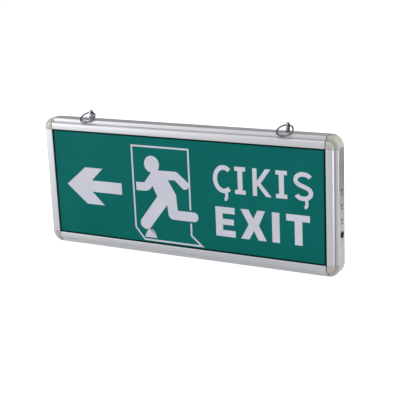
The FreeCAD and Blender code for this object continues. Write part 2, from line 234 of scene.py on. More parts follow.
def patches(material, size, light, dark, stretch=(1, 1, 1)):  # two close colours in soft patches
    blots = addNode(material, "ShaderNodeTexNoise", {
        "Vector": patternSpace(material, size, stretch), "Scale": 1.0, "Detail": 2.0})
    share = addNode(material, "ShaderNodeMapRange", {"Value": blots.outputs["Fac"], **noiseSpan})
    mixed = addNode(material, "ShaderNodeMix", {0: share.outputs[0], 6: paint(light), 7: paint(dark)},
                    data_type="RGBA")
    return mixed.outputs[2]


def fineGrain(material, size, rough, spread, depth, stretch=(1, 1, 1), detail=3.0):
    # a grain in the height, depth mm deep, and in the gloss
    height = addNode(material, "ShaderNodeTexNoise", {
        "Vector": patternSpace(material, size, stretch), "Scale": 1.0, "Detail": detail}).outputs["Fac"]
    gloss = addNode(material, "ShaderNodeMapRange", {
        "Value": height, "To Min": rough - spread, "To Max": rough + spread, **noiseSpan})
    bump = addNode(material, "ShaderNodeBump", {"Height": height, "Distance": depth * mm, "Strength": 1.0})
    return {"Roughness": gloss.outputs[0], "Normal": bump.outputs[0]}


def surface(name, light, dark, rough, spread=0.04, patch=30, fine=0.5, depth=0.004, stretch=(1, 1, 1),
            **sockets):
    # patch, fine and depth in mm: size of the colour's patches, size and depth of the grain
    material = newMaterial(name)
    inputs = {"Base Color": patches(material, patch, light, dark, stretch)}
    inputs.update(fineGrain(material, fine, rough, spread, depth, stretch))
    inputs.update({key.replace("_", " "): value for key, value in sockets.items()})
    shader = addNode(material, "ShaderNodeBsdfPrincipled", inputs)
    addNode(material, "ShaderNodeOutputMaterial", {"Surface": shader.outputs[0]})
    return material


extrusion = {  # section of the frame, in mm out from the sight edge
    "rim": 8.2,
    "step": 4.0,
    "wall": 1.2,
    "rib": 0.8,
    "rimRound": 2.8,
    "shoulderRound": 0.9,
    "lipRound": 0.6,
    "grooveWide": 0.1,
    "grooveDeep": 0.1,
    "grooveLean": 0.6,  # where its floor turns, as a share of its width and of its depth
    "levelGap": 0.8,
    "uprightGap": 0.3,
    "endBreak": 0.35,
    "holeClear": 0.1,
    "holeSides": 40,
    "cutReach": 4.0,
    "drillLong": 6.0,
    "arcSteps": 6,
}
moulding = {  # inside of a corner, in mm: pockets for the sheets, and two tenons
    "tenonLength": 16.0,
    "tenonWall": 1.8,
    "tenonInset": 1.0,
    "rootOverlap": 0.5,
    "sheetClear": 0.4,
    "seatClear": 0.1,
    "channelClear": 0.05,
    "arcSteps": 20,
    "reliefSides": 48,
}
border, half = (outerRight - sightRight) / mm, halfDepth / mm
shoulder = half - extrusion["step"]
ribInside = shoulder - extrusion["wall"]


def outerSection():  # back half of the outside, from the band to the lip
    rim, wide, deep, lean = (extrusion[key] for key in ("rim", "grooveWide", "grooveDeep", "grooveLean"))
    return [
        (border, shoulder, extrusion["shoulderRound"]),
        (rim + wide, shoulder, 0),
        (rim + wide * lean, shoulder - deep, 0),
        (rim, shoulder - deep * lean, 0),
        (rim, half, extrusion["rimRound"]),
        (0, half, extrusion["lipRound"]),
    ]


def innerSection():
    wall, rib = extrusion["wall"], extrusion["rib"]
    slotEnd = extrusion["rim"] - wall
    return [(0, half - wall, 0), (slotEnd, half - wall, 0), (slotEnd, shoulder, 0), (rib, shoulder, 0),
            (rib, ribInside, 0), (border - wall, ribInside, 0)]


def bothHalves(corners):
    return corners + [(x, -y, radius) for x, y, radius in reversed(corners)]


def member(node, length, gap, degrees, start, material):
    bm = bmesh.new()
    faces = outlineFace(bm, bothHalves(outerSection() + innerSection()), extrusion["arcSteps"])
    push(bm, faces, (0, 0, length - 2 * gap * mm))
    ends = [min(v.co.z for v in bm.verts), max(v.co.z for v in bm.verts)]
    sawn = [e for e in bm.edges if any(all(abs(v.co.z - end) < near for v in e.verts) for end in ends)]
    breakEdges(bm, sawn, extrusion["endBreak"])
    turn = Matrix.Rotation(math.radians(degrees), 4, "Y")
    put(bm, Matrix.Translation(start) @ turn @ Matrix.Translation((0, 0, gap * mm)))
    return dress(asPiece(bm, node.replace("frame", "extrusion")), material, "anodised_aluminium", node)


def elbow():  # the frame's outside, turned through a right angle
    bm = bmesh.new()
    faces = outlineFace(bm, bothHalves(outerSection()), extrusion["arcSteps"])
    bmesh.ops.spin(bm, geom=bm.verts[:] + bm.edges[:] + faces, cent=(0, 0, 0), axis=(0, 1, 0),
                   dvec=(0, 0, 0), angle=-quarter, steps=moulding["arcSteps"])
    bmesh.ops.remove_doubles(bm, verts=bm.verts[:], dist=weld)
    ends = []
    for edge in bm.edges:
        level = all(abs(v.co.z) < near for v in edge.verts)
        upright = all(abs(v.co.x) < near for v in edge.verts)
        if level != upright and len(edge.link_faces) == 2 and edge.calc_face_angle() > cutAngle:
            ends.append(edge)
    breakEdges(bm, ends, extrusion["endBreak"])
    return asPiece(bm, "cornerForm", body=None)


def cornerForm():  # an elbow with pockets for the sheets and channel tenons
    m = moulding
    piece = elbow()
    lip = half - extrusion["wall"]
    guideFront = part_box("light_guide")[0].y / mm
    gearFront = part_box("reflector_sheet")[1].y / mm + m["seatClear"]
    sheetEnd = (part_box("back_panel")[1].x - sightRight) / mm + m["sheetClear"]
    guideEnd = (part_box("light_guide")[1].z - sightTop) / mm + m["sheetClear"]
    pockets = [(sheetEnd, -lip, -shoulder, sheetEnd), (sheetEnd, shoulder, lip, sheetEnd),
               (sheetEnd, guideFront, gearFront, guideEnd), (guideEnd, guideFront, gearFront, sheetEnd)]
    for across, front, back, up in pockets:
        pocket = boxForm((-mm, front * mm, -mm), (across * mm, back * mm, up * mm))
        combine(piece, pocket, "DIFFERENCE")
    reach = border - extrusion["wall"] - m["channelClear"]
    wall, inset = m["tenonWall"], m["tenonInset"]
    front, back = gearFront, ribInside - m["seatClear"]
    between = Matrix.Translation((0, (front + back) / 2 * mm, 0)) @ Matrix.Rotation(quarter, 4, "X")
    relief = rodForm(reach - wall, back - front - 2 * wall, m["reliefSides"], between)
    combine(piece, relief, "DIFFERENCE")
    channel = [(inset, front, 0), (reach, front, 0), (reach, back, 0), (inset, back, 0),
               (inset, back - wall, 0), (reach - wall, back - wall, 0),
               (reach - wall, front + wall, 0), (inset, front + wall, 0)]
    for direction, degrees in ((-1, 0), (1, -90)):
        tenon = bmesh.new()
        faces = outlineFace(tenon, channel)
        push(tenon, faces, (0, 0, direction * (m["tenonLength"] + m["rootOverlap"]) * mm))
        put(tenon, Matrix.Rotation(math.radians(degrees), 4, "Y")
            @ Matrix.Translation((0, 0, -direction * m["rootOverlap"] * mm)))
        combine(piece, tenon, "UNION")
    return piece


def corner(node, degrees, sideX, edgeZ, form, material):
    piece = bpy.data.objects.new(node.replace("corner", "cornerMoulding"), form.data.copy())
    bpy.context.scene.collection.objects.link(piece)
    turn = Matrix.Rotation(math.radians(degrees), 4, "Y")
    piece.data.transform(Matrix.Translation((sideX, 0, edgeZ)) @ turn)
    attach(piece, "housing")
    return dress(piece, material, "grey_abs", node)


# aluminium, extruded and anodised: satin metal with faint die lines along its length
# (real lines are about 0.2 mm apart; 0.7 mm here, so that they show)
metalLook = dict(light="#B6B7BA", dark="#AFB0B4", rough=0.42, patch=6, fine=0.7, depth=0.0015, Metallic=1.0)
alongX = surface("anodisedAluminiumLevel", stretch=(60, 1, 1), **metalLook)
alongZ = surface("anodisedAluminiumUpright", stretch=(1, 1, 60), **metalLook)
# ABS, injection moulded in a spark-eroded tool: even warm grey with a soft sheen
cornerAbs = surface("mouldedAbsWarmGrey", "#ADAAA2", "#A6A39B", 0.24, patch=14, fine=0.5, depth=0.003,
                    IOR=1.55)

sightWide, sightHigh = 2 * sightRight, sightTop - sightBottom
levelGap, uprightGap = extrusion["levelGap"], extrusion["uprightGap"]
topBar = member("frame_top", sightWide, levelGap, -90, (sightRight, 0, sightTop), alongX)
member("frame_bottom", sightWide, levelGap, 90, (-sightRight, 0, sightBottom), alongX)
member("frame_left", sightHigh, uprightGap, 180, (-sightRight, 0, sightTop), alongZ)
rightBar = member("frame_right", sightHigh, uprightGap, 0, (sightRight, 0, sightBottom), alongZ)
print("extrusions made")

form = cornerForm()
corner("corner_top_right", 0, sightRight, sightTop, form, cornerAbs)
corner("corner_top_left", -90, -sightRight, sightTop, form, cornerAbs)
corner("corner_bottom_left", 180, -sightRight, sightBottom, form, cornerAbs)
corner("corner_bottom_right", 90, sightRight, sightBottom, form, cornerAbs)
bpy.data.objects.remove(form)
print("corner mouldings made")


# the print on the face, in mm across and down from the sight's top left corner
inkThickness = 0.04
arcStep = 7  # degrees that one step of a stroke's arc turns
arrow = {
    "tip": 15.5,
    "shoulder": 41.4,
    "barb": 64.6,
    "notch": 49.2,
    "tail": 88.7,
    "middle": 62.1,
    "head": 21.0,
    "shaft": 6.5,
}
runner = {  # corners as (across, down), or (across, down, radius) where they are rounded
    "body": [
        (135.8, 37.0), (159.6, 36.8, 1.6), (176.0, 49.8, 4.0), (169.5, 57.2, 4.0), (157.0, 46.3),
        (148.5, 46.7), (157.8, 62.4, 1.0), (159.1, 79.7), (184.1, 79.7, 5.2), (184.1, 90.3, 5.2),
        (147.7, 90.3, 6.0), (146.3, 74.4), (119.8, 107.1, 6.8), (108.2, 99.0, 6.8), (134.2, 66.1),
        (128.9, 55.0), (123.4, 61.0, 4.0), (108.1, 61.2), (108.1, 52.0), (118.9, 51.5), (127.0, 41.0),
        (130.5, 37.0),
    ],
    "head": (129.1, 30.9),
    "headRadius": 9.4,
    "threshold": [(115.6, 113.6, 0.4), (131.4, 113.6, 0.4), (127.0, 103.4, 4.0), (120.4, 103.4, 4.0)],
}
doorway = {  # its right side has a gap for the runner's foot
    "left": 104.6,
    "right": 174.9,
    "top": 11.6,
    "jambLeft": 103.4,
    "jambRight": 106.0,
    "sillLeft": 115.6,
    "sillRight": 187.4,
    "sill": 116.4,
    "gapTop": 77.6,
    "gapBottom": 92.4,
    "line": 1.9,
}
exitWord = {
    "top": 69.9,
    "bottom": 102.0,
    "bar": 7.0,
    "stem": 8.4,
    "E": {"left": 205.2, "arms": (227.8, 226.6, 228.2), "thinner": 0.3},
    "X": {"top": (234.8, 244.0, 254.2, 262.9), "bottom": (234.5, 244.2, 254.8, 264.0),
          "waist": (243.8, 255.6), "upperNotch": (249.3, 79.4), "lowerNotch": (249.7, 92.4)},
    "I": {"left": 270.6},
    "T": {"arms": (286.6, 312.6), "stem": (295.8, 304.2)},
}
cikisWord = {  # openings in degrees; a squeeze is a letter's width as a share of a round one's
    "top": 25.4,
    "bottom": 54.4,
    "stroke": 4.9,
    "overshoot": 0.5,
    "C": {"centre": 216.3, "opening": 50, "squeeze": 0.8, "hook": 219.2},
    "I": {"first": (229.2, 241.6), "second": (275.8, 288.4), "slab": 4.4, "stem": 5.6},
    "K": {"stem": (249.7, 254.6), "arm": (264.3, 270.2), "leg": (264.6, 271.0), "armRoot": 38.4,
          "legRoot": 44.4, "crotch": (255.6, 43.2), "knee": (258.9, 40.8)},
    "S": {"centre": 306.0, "bowl": 5.9, "opening": 25, "thinner": 0.3, "squeeze": 1.4, "hook": 309.6},
    "hook": {"overlap": 1.5, "drop": 4.4, "radius": 3.0, "degrees": 80, "stroke": 3.4},
}


def onFace(bm, geom, wire=False):  # gives a flat drawing its thickness and lays it on the film
    push(bm, geom, (0, 0, inkThickness * mm), wire)
    put(bm, Matrix.Translation((-sightRight, filmFront, sightTop)) @ Matrix.Rotation(quarter, 4, "X"))


def inkShape(name, outline, segments=6):  # outline in (across, down) or (across, down, radius)
    bm = bmesh.new()
    outlineFace(bm, [(p[0], -p[1], p[2] if len(p) > 2 else 0) for p in outline], segments)
    onFace(bm, bm.faces[:])
    return asPiece(bm, name)


def inkStroke(name, start, route, width, squeeze=1.0, about=0):
    # a line of even width; the route holds ("line", across, down) and
    # ("arc", centre across, centre down, degrees)
    bm = bmesh.new()
    last = bm.verts.new((start[0] * mm, -start[1] * mm, 0))
    for step in route:
        target = Vector((step[1] * mm, -step[2] * mm, 0))
        if step[0] == "line":
            last = bmesh.ops.extrude_vert_indiv(bm, verts=[last])["verts"][0]
            last.co = target
        else:
            made = bmesh.ops.spin(bm, geom=[last], cent=target, axis=(0, 0, 1), dvec=(0, 0, 0),
                                  angle=math.radians(step[3]), steps=int(abs(step[3]) / arcStep))
            last = [g for g in made["geom_last"] if isinstance(g, bmesh.types.BMVert)][0]
    for vert in bm.verts:
        vert.co.x = about * mm + (vert.co.x - about * mm) * squeeze
    onFace(bm, bm.edges[:], wire=True)
    piece = asPiece(bm, name)
    thicken = piece.modifiers.new("width", "SOLIDIFY")
    thicken.thickness = width * mm
    thicken.offset = 0
    thicken.use_even_offset = True
    return evaluated(piece)


def arrowShape():
    a = arrow
    headTop, shaftTop = a["middle"] - a["head"], a["middle"] - a["shaft"]
    upper = [(a["tip"], a["middle"]), (a["shoulder"], headTop), (a["barb"], headTop), (a["notch"], shaftTop),
             (a["tail"], shaftTop)]
    lower = [(x, 2 * a["middle"] - y) for x, y in reversed(upper[1:])]
    return inkShape("printArrow", upper + lower)


def runnerShape():
    body = inkShape("printRunner", runner["body"], segments=8)
    head = bmesh.new()
    bmesh.ops.create_circle(head, cap_ends=True, segments=48, radius=runner["headRadius"] * mm)
    across, down = runner["head"]
    put(head, Matrix.Translation((across * mm, -down * mm, 0)))
    onFace(head, head.faces[:])
    return combine(body, head, "UNION")


def doorwayShape():  # one line round the doorway, stopping clear of the runner's foot
    d = doorway
    route = [(d["right"], d["top"]), (d["left"], d["top"]), (d["left"], d["jambLeft"]),
             (d["sillLeft"], d["sill"]), (d["sillRight"], d["sill"]), (d["right"], d["jambRight"]),
             (d["right"], d["gapBottom"])]
    lines = [("line", across, down) for across, down in route]
    return inkStroke("printDoorway", (d["right"], d["gapTop"]), lines, d["line"])


def latinLetters():  # plain sans capitals, heavy
    w, e, x, t = exitWord, exitWord["E"], exitWord["X"], exitWord["T"]
    top, low, bar = w["top"], w["bottom"], w["bar"]
    centre = (top + low) / 2
    thin = bar / 2 - e["thinner"]
    stemE = e["left"] + w["stem"]
    upperE, middleE, lowerE = e["arms"]
    letterE = [(e["left"], top), (upperE, top), (upperE, top + bar), (stemE, top + bar),
               (stemE, centre - thin), (middleE, centre - thin), (middleE, centre + thin),
               (stemE, centre + thin), (stemE, low - bar), (lowerE, low - bar), (lowerE, low),
               (e["left"], low)]
    above, below = x["top"], x["bottom"]
    letterX = [(above[0], top), (above[1], top), x["upperNotch"], (above[2], top), (above[3], top),
               (x["waist"][1], centre), (below[3], low), (below[2], low), x["lowerNotch"],
               (below[1], low), (below[0], low), (x["waist"][0], centre)]
    leftI = w["I"]["left"]
    letterI = [(leftI, top), (leftI + w["stem"], top), (leftI + w["stem"], low), (leftI, low)]
    leftT, rightT = t["arms"]
    stemLeft, stemRight = t["stem"]
    letterT = [(leftT, top), (rightT, top), (rightT, top + bar), (stemRight, top + bar), (stemRight, low),
               (stemLeft, low), (stemLeft, top + bar), (leftT, top + bar)]
    letters = (("E", letterE), ("X", letterX), ("I", letterI), ("T", letterT))
    return [inkShape("exit" + name, outline) for name, outline in letters]


def serifI(name, edges):
    w = cikisWord
    top, low, slab = w["top"], w["bottom"], w["I"]["slab"]
    left, right = edges
    inset = (right - left - w["I"]["stem"]) / 2
    return inkShape(name, [
        (left, top), (right, top), (right, top + slab), (right - inset, top + slab),
        (right - inset, low - slab), (right, low - slab), (right, low), (left, low),
        (left, low - slab), (left + inset, low - slab), (left + inset, top + slab), (left, top + slab)])


def cedilla(across):
    low, h = cikisWord["bottom"], cikisWord["hook"]
    route = [("line", across, low + h["drop"]), ("arc", across - h["radius"], low + h["drop"], -h["degrees"])]
    return inkStroke("hook", (across, low - h["overlap"]), route, h["stroke"])


def cikisC(middleDown, reach):
    c = cikisWord["C"]
    across, opening = c["centre"], math.radians(c["opening"])
    start = (across + reach * math.cos(opening), middleDown - reach * math.sin(opening))
    route = [("arc", across, middleDown, 360 - 2 * c["opening"])]
    letter = inkStroke("cikisC", start, route, cikisWord["stroke"], squeeze=c["squeeze"], about=across)
    return combine(letter, cedilla(c["hook"]), "UNION")


def cikisS(middleDown, reach):  # two bowls and the straight spine that touches both
    s = cikisWord["S"]
    across, bowl = s["centre"], s["bowl"]
    drop = reach - bowl
    lean = math.degrees(math.asin(bowl / drop))
    begin, spine = math.radians(s["opening"]), math.radians(180 + lean)
    start = (across + bowl * math.cos(begin), middleDown - drop - bowl * math.sin(begin))
    turn = (across - bowl * math.cos(spine), middleDown + drop + bowl * math.sin(spine))
    sweep = 180 + lean - s["opening"]
    route = [("arc", across, middleDown - drop, sweep), ("line", *turn),
             ("arc", across, middleDown + drop, -sweep)]
    letter = inkStroke("cikisS", start, route, cikisWord["stroke"] - s["thinner"], squeeze=s["squeeze"],
                       about=across)
    return combine(letter, cedilla(s["hook"]), "UNION")


def turkishLetters():  # lighter capitals with slab serifs on the I
    w, k = cikisWord, cikisWord["K"]
    top, low = w["top"], w["bottom"]
    centre, reach = (top + low) / 2, (low - top - w["stroke"]) / 2 + w["overshoot"]
    letterC = cikisC(centre, reach)
    left, stem = k["stem"]
    letterK = [(left, top), (stem, top), (stem, k["armRoot"]), (k["arm"][0], top), (k["arm"][1], top),
               k["knee"], (k["leg"][1], low), (k["leg"][0], low), k["crotch"], (stem, k["legRoot"]),
               (stem, low), (left, low)]
    letterS = cikisS(centre, reach)
    return [letterC, serifI("cikisFirstI", w["I"]["first"]), inkShape("cikisK", letterK),
            serifI("cikisSecondI", w["I"]["second"]), letterS]


# opal white that shows through clear windows in the film: flat, slightly cool
legendWhite = surface("screenPrintedWhite", "#C8C9D5", "#C1C2CE", 0.5, patch=25, fine=0.6, depth=0.002,
                      IOR=1.45, Specular_IOR_Level=0.15)
legend = [arrowShape(), runnerShape(), doorwayShape()] + latinLetters() + turkishLetters()
legend.append(inkShape("printThreshold", runner["threshold"]))
for shape in legend:
    dress(shape, legendWhite, "green_film")
print("legend printed:", len(legend), "shapes")

film = {  # patch, fine and depth in mm
    "green": ("#0B655F", "#095F5B"),
    # colour of the painted shade under the frame's lip
    "line": "#021514",
    "patch": 45,
    "fine": 1.6,
    "depth": 0.002,
    "rough": 0.42,
    "spread": 0.04,
    "gloss": 0.03,
}
paintedLipShade = {  # painted shade under the frame's lip: a dark line round the print, in mm
    "upright": 2.7,
    "level": 2.1,
    "shiftAcross": -0.3,
    "shiftUp": -0.15,
    "fade": 0.6,  # share of its width that is fully dark
}


# polyester film, screen printed on its back: deep even green, satin, with painted shade as a dark line where
# the frame's lip overhangs it
def filmMaterial():
    material = newMaterial("screenPrintedGreenFilm")
    where = addNode(material, "ShaderNodeTexCoord").outputs["Object"]
    shift = (-paintedLipShade["shiftAcross"] * mm, 0, -paintedLipShade["shiftUp"] * mm - faceCentre.z)
    centred = addNode(material, "ShaderNodeMapping", {"Vector": where, "Location": shift})
    parts = addNode(material, "ShaderNodeSeparateXYZ", {0: centred.outputs[0]})
    gaps = []
    for axis, reach, line in (("X", sightRight, paintedLipShade["upright"]), ("Z", sightHigh / 2, paintedLipShade["level"])):
        away = addNode(material, "ShaderNodeMath", {0: parts.outputs[axis]}, operation="ABSOLUTE").outputs[0]
        gap = addNode(material, "ShaderNodeMath", {0: reach, 1: away}, operation="SUBTRACT").outputs[0]
        scaled = addNode(material, "ShaderNodeMath", {0: gap, 1: line * mm}, operation="DIVIDE").outputs[0]
        gaps.append(scaled)
    nearest = addNode(material, "ShaderNodeMath", {0: gaps[0], 1: gaps[1]}, operation="MINIMUM").outputs[0]
    inside = addNode(material, "ShaderNodeMapRange", {0: nearest, 1: paintedLipShade["fade"], 2: 1.0}).outputs[0]
    ink = patches(material, film["patch"], *film["green"])
    # painted shade: near the sight edge the green turns to the dark line colour
    colour = addNode(material, "ShaderNodeMix", {0: inside, 6: paint(film["line"]), 7: ink}, data_type="RGBA")
    inputs = fineGrain(material, film["fine"], film["rough"], film["spread"], film["depth"], detail=2.0)
    inputs.update({"Base Color": colour.outputs[2], "Specular IOR Level": film["gloss"]})
    shader = addNode(material, "ShaderNodeBsdfPrincipled", inputs)
    addNode(material, "ShaderNodeOutputMaterial", {"Surface": shader.outputs[0]})
    return material


def refinish(node, material):
    for slot in nodes[node].material_slots:
        slot.material = material


refinish("legend_film", filmMaterial())


hanger = {  # ring and tab, in mm
    "wireRadius": 0.89,
    "ringRadius": 8.35,
    "wireSides": 20,
    "ringSteps": 72,
    "tabRound": 2.9,
    "holeRadius": 1.3,
    "holeSides": 32,
    "drillLong": 8.0,
    "edgeBreak": 0.25,
}


def eyeOf(side):  # the hole that a ring turns in
    return Vector(next(j for j in frame["joints"] if j["name"] == "ring_%s_swing" % side)["pos_m"])


def wireRing(side):
    eye = eyeOf(side)
    centre = middle("hanger_ring_" + side)
    lean = math.atan2(eye.z - centre.z, eye.y - centre.y)
    bm = bmesh.new()
    bmesh.ops.create_circle(bm, cap_ends=False, segments=hanger["wireSides"],
                            radius=hanger["wireRadius"] * mm)
    put(bm, Matrix.Translation((hanger["ringRadius"] * mm, 0, 0)) @ Matrix.Rotation(quarter, 4, "X"))
    spun(bm, hanger["ringSteps"])
    put(bm, Matrix.Translation(centre) @ Matrix.Rotation(lean, 4, "X"))
    piece = asPiece(bm, "wireRing_" + side, "ring_" + side)
    return dress(piece, chromedWire, "chromed_wire", "hanger_ring_" + side)


def tabPlate(side):  # a plate with a round head, a wide foot and a hole for the ring
    low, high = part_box("hanger_tab_" + side)
    eye = eyeOf(side)
    reach = hanger["tabRound"]
    front, back = eye.y / mm - reach, eye.y / mm + reach
    foot, top = low.z / mm, high.z / mm
    base = outerTop / mm - extrusion["wall"]
    bm = bmesh.new()
    outlineFace(bm, [
        (low.y / mm, foot, 0), (high.y / mm, foot, 0), (high.y / mm, base, 0), (back, base, 0),
        (back, top, reach), (front, top, reach), (front, base, 0), (low.y / mm, base, 0)], segments=10)
    push(bm, bm.faces[:], (0, 0, high.x - low.x))
    edges = [e for e in bm.edges if len(e.link_faces) == 2 and e.calc_face_angle() > cutAngle
             and min(v.co.y for v in e.verts) > outerTop]
    breakEdges(bm, edges, hanger["edgeBreak"], segments=2)
    put(bm, standing(low.x, 0, 0))
    piece = asPiece(bm, "tabPlate_" + side)
    across = Matrix.Translation(((low.x + high.x) / 2, eye.y, eye.z)) @ Matrix.Rotation(quarter, 4, "Y")
    hole = rodForm(hanger["holeRadius"], hanger["drillLong"], hanger["holeSides"], across)
    combine(piece, hole, "DIFFERENCE")
    return dress(piece, platedSteel, "plated_steel", "hanger_tab_" + side)


def cutForTab(piece, node):  # slot in the top band round a hanger tab
    low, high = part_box(node)
    clear, halfTab = extrusion["holeClear"] * mm, hanger["tabRound"] * mm
    reach = extrusion["cutReach"] * mm
    centreY = eyeOf("left").y
    slot = boxForm((low.x - clear, centreY - halfTab - clear, outerTop - reach),
                   (high.x + clear, centreY + halfTab + clear, outerTop + reach))
    combine(piece, slot, "DIFFERENCE")


# steel wire, drawn and chromed: a mid grey darker than chrome, a painted reflection of dark surroundings, and
# a near black edge tint that paints dark contours where it turns away
chromedWire = surface("chromedSteelWire", "#6A6C70", "#56585C", 0.1, patch=3, fine=0.8, depth=0.003,
                      Metallic=1.0, Specular_Tint=paint("#1C1D1F"))
# steel strip, stamped and zinc plated: bright but less even than the wire, with a near black edge tint that
# paints dark reflections along its edges
platedSteel = surface("zincPlatedSteelStrip", "#989A9E", "#7C7E82", 0.16, patch=4, fine=0.6, depth=0.006,
                      stretch=(1, 1, 6), Metallic=1.0, Specular_Tint=paint("#2A2C2F"))
for side in ("left", "right"):
    wireRing(side)
    tabPlate(side)
    cutForTab(topBar, "hanger_tab_" + side)
print("hangers made")


lamp = {"radius": 1.5, "length": 7.7, "dome": 1.3}  # in mm
lenses = {  # slot and the two tints of each lamp
    "mains": ("lamp_green", "#183C24", "#122E1B"),
    "fault": ("lamp_yellow", "#5A3F10", "#4A360D"),
    "charge": ("lamp_red", "#521311", "#400E0E"),
}
button = {  # in mm, with heights from the band outwards
    "radius": 3.4,
    "edge": 0.35,
    "under": -1.3,
    "flange": 4.2,
    "flangeThick": 0.8,
    "stem": 1.5,
}


def alongRight(node):  # local Z points out of the right band, at the node's own centre line
    centre = middle(node)
    return Matrix.Translation((outerRight, centre.y, centre.z)) @ Matrix.Rotation(quarter, 4, "Y")


def lampPiece(name, material, slot):
    node = "indicator_lamp_" + name
    tip = (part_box(node)[1].x - outerRight) / mm
    end, radius = tip - lamp["length"], lamp["radius"]
    bm = bmesh.new()
    turned(bm, [(0, end, 0), (radius, end, 0), (radius, tip, lamp["dome"]), (0, tip, 0)],
           steps=32, segments=8)
    put(bm, alongRight(node))
    return dress(asPiece(bm, "lamp_" + name), material, slot, node)


def buttonPiece():
    low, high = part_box("test_button")
    b = button
    top, end = (high.x - outerRight) / mm, (low.x - outerRight) / mm
    under, below = b["under"], b["under"] - b["flangeThick"]
    bm = bmesh.new()
    turned(bm, [(0, end, 0), (b["stem"], end, 0), (b["stem"], below, 0), (b["flange"], below, 0),
                (b["flange"], under, 0), (b["radius"], under, 0), (b["radius"], top, b["edge"]), (0, top, 0)])
    put(bm, alongRight("test_button"))
    return dress(asPiece(bm, "pushButton", "test_button"), blackPlastic, "black_plastic", "test_button")


def lensMaterial(name, light, dark):
    # clear epoxy, cast round an unlit lamp: glassy, tinted, dark inside
    return surface(name, light, dark, 0.12, spread=0.02, patch=2, fine=0.4, depth=0.001, IOR=1.54,
                   Transmission_Weight=0.35)


def holeInBand(node, radius):
    cut = extrusion
    hole = rodForm(radius + cut["holeClear"], cut["drillLong"], cut["holeSides"], alongRight(node))
    combine(rightBar, hole, "DIFFERENCE")


# ABS, moulded in black and lightly polished by fingers
blackPlastic = surface("mouldedAbsBlack", "#070708", "#0B0B0C", 0.5, patch=5, fine=0.35, depth=0.006,
                       IOR=1.52, Specular_IOR_Level=0.15)
for name, (slot, light, dark) in lenses.items():
    lampPiece(name, lensMaterial("epoxyLens_" + name, light, dark), slot)
buttonPiece()
for name in ("mains", "charge", "fault"):
    holeInBand("indicator_lamp_" + name, lamp["radius"])
holeInBand("test_button", button["radius"])


marks = {  # in mm
    "wide": 4.6,
    "high": 1.1,
    "round": 0.25,
    "below": 3.6,
    "thick": 0.03,
    "buttonWide": 2.4,
    "buttonBelow": 5.6,
}
# pad printed ink: small dark marks beside the lamps, plain bars that say nothing
padInk = surface("padPrintedGreyInk", "#2A2A2D", "#36363A", 0.5, patch=1.2, fine=0.3, depth=0.002, IOR=1.5)


def bandMark(name, node, below, wide):
    centre = middle(node)
    across, up, corners = wide / 2, marks["high"] / 2, marks["round"]
    bm = bmesh.new()
    outlineFace(bm, [(-across, -up, corners), (across, -up, corners), (across, up, corners),
                     (-across, up, corners)], segments=3)
    push(bm, bm.faces[:], (0, 0, marks["thick"] * mm))
    put(bm, standing(outerRight, centre.y, centre.z - below * mm))
    return dress(asPiece(bm, "bandMark_" + name), padInk, "black_plastic")


for name in ("mains", "charge", "fault"):
    bandMark(name, "indicator_lamp_" + name, marks["below"], marks["wide"])
bandMark("button", "test_button", marks["buttonBelow"], marks["buttonWide"])
print("lamps, button and marks made")


bush = {"bore": 3.5, "neck": 5.5, "flange": 7.5, "flangeThick": 1.2, "edge": 0.45, "foot": 0.25}  # in mm
# rubber, compression moulded: matt black with a dusty bloom
blackRubber = surface("mouldedRubberBlack", "#1B1B1C", "#242425", 0.62, patch=3, fine=0.4, depth=0.01,
                      IOR=1.52)


def cableBush():
    low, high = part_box("cable_grommet")
    centre = middle("cable_grommet")
    b, start, end = bush, low.y / mm, high.y / mm
    inner, outer = start + b["flangeThick"], end - b["flangeThick"]
    bm = bmesh.new()
    turned(bm, [(b["bore"], start, b["edge"]), (b["flange"], start, b["edge"]),
                (b["flange"], inner, b["foot"]), (b["neck"], inner, 0), (b["neck"], outer, 0),
                (b["flange"], outer, b["foot"]), (b["flange"], end, b["edge"]),
                (b["bore"], end, b["edge"])], steps=64, segments=4)
    put(bm, Matrix.Translation((centre.x, 0, centre.z)) @ Matrix.Rotation(-quarter, 4, "X"))
    return dress(asPiece(bm, "cableBush"), blackRubber, "black_rubber", "cable_grommet")


cableBush()
print("cable bush made")


boards = {  # in mm
    "trackLong": 3.4,  # in track spacings
    "copper": 0.035,
    "cloud": 3.0,
    "glossiest": 0.26,
    "dullest": 0.36,
}
fuse = {"capLong": 2.2, "clear": 0.85, "glass": "#E4EAE8", "cap": "#B9B8B2"}  # caps in mm


def boardMaterial(name, mask, maskDark, track, trackGap, lineWide):
    # glass fibre laminate with etched copper under a coat of solder mask: glossy, with raised tracks
    material = newMaterial(name)
    where = addNode(material, "ShaderNodeTexCoord").outputs["Object"]
    upright = addNode(material, "ShaderNodeMapping", {"Vector": where, "Rotation": (quarter, 0, 0)})
    tracks = addNode(material, "ShaderNodeTexBrick", {
        "Vector": upright.outputs[0], "Color1": paint(mask), "Color2": paint(maskDark),
        "Mortar": paint(track), "Mortar Size": lineWide * mm, "Scale": 1.0,
        "Brick Width": boards["trackLong"] * trackGap * mm, "Row Height": trackGap * mm})
    bump = addNode(material, "ShaderNodeBump", {
        "Height": tracks.outputs["Fac"], "Distance": boards["copper"] * mm})
    clouds = addNode(material, "ShaderNodeTexNoise", {
        "Vector": patternSpace(material, boards["cloud"]), "Scale": 1.0, "Detail": 2.0})
    gloss = addNode(material, "ShaderNodeMapRange", {
        "Value": clouds.outputs["Fac"], "To Min": boards["glossiest"], "To Max": boards["dullest"],
        **noiseSpan})
    shader = addNode(material, "ShaderNodeBsdfPrincipled", {
        "Base Color": tracks.outputs["Color"], "Roughness": gloss.outputs[0], "IOR": 1.55,
        "Normal": bump.outputs[0]})
    addNode(material, "ShaderNodeOutputMaterial", {"Surface": shader.outputs[0]})
    return material


